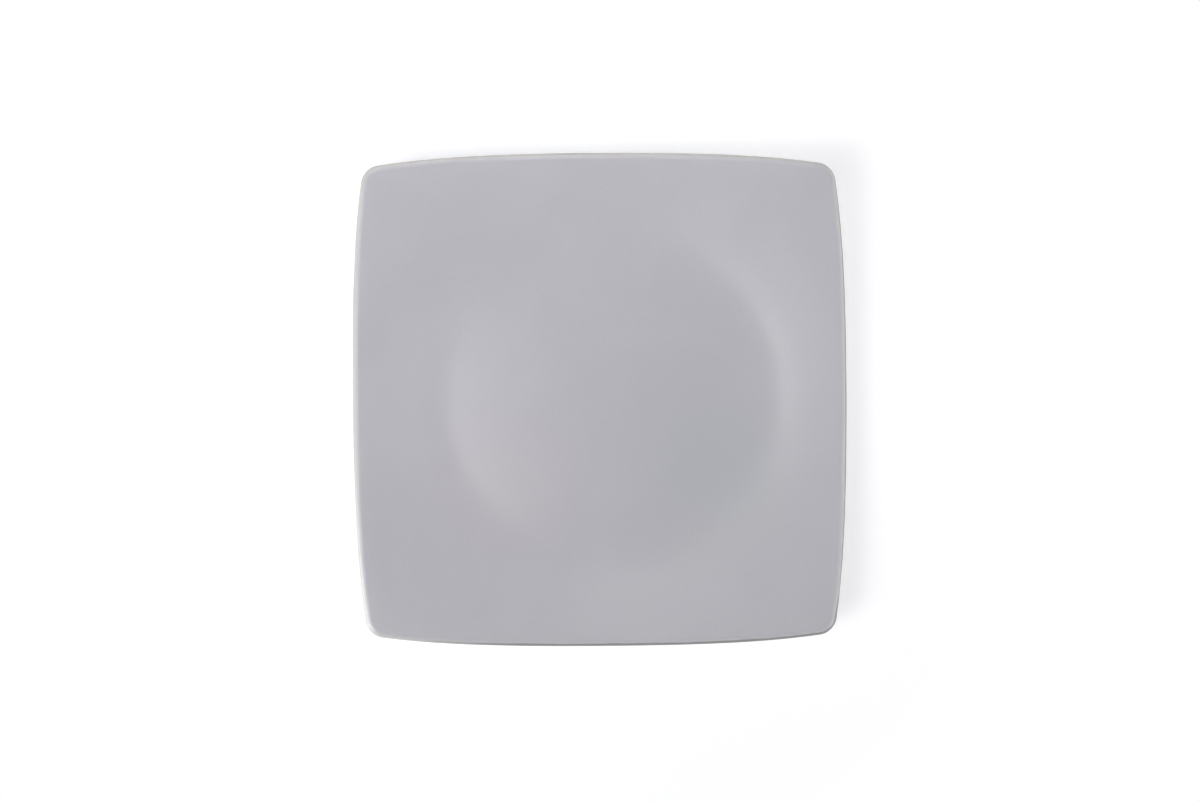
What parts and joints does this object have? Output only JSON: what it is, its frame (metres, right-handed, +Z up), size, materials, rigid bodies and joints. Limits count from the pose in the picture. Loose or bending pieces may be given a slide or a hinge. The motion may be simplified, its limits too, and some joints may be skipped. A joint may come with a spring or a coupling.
{
  "type": "square dessert plate",
  "caption": "Square dessert plate with bowed sides, round corners, a round well, a rising rim and a foot ring, in satin grey glaze.",
  "frame": {"origin": "the middle of the circle that the foot ring stands on, on the table", "axes": "+Z up, out of the well; X and Y each run to the middle of a side"},
  "size_m": [0.21, 0.21, 0.0193],
  "materials": {
    "clay": "bare fired stoneware, cream and matt",
    "glaze": "satin mid-grey glaze with a breath of blue"
  },
  "bodies": {
    "root": {"body": "clay", "face_glaze": "glaze", "underside_glaze": "glaze", "recess_glaze": "glaze"}
  },
  "joints": []
}
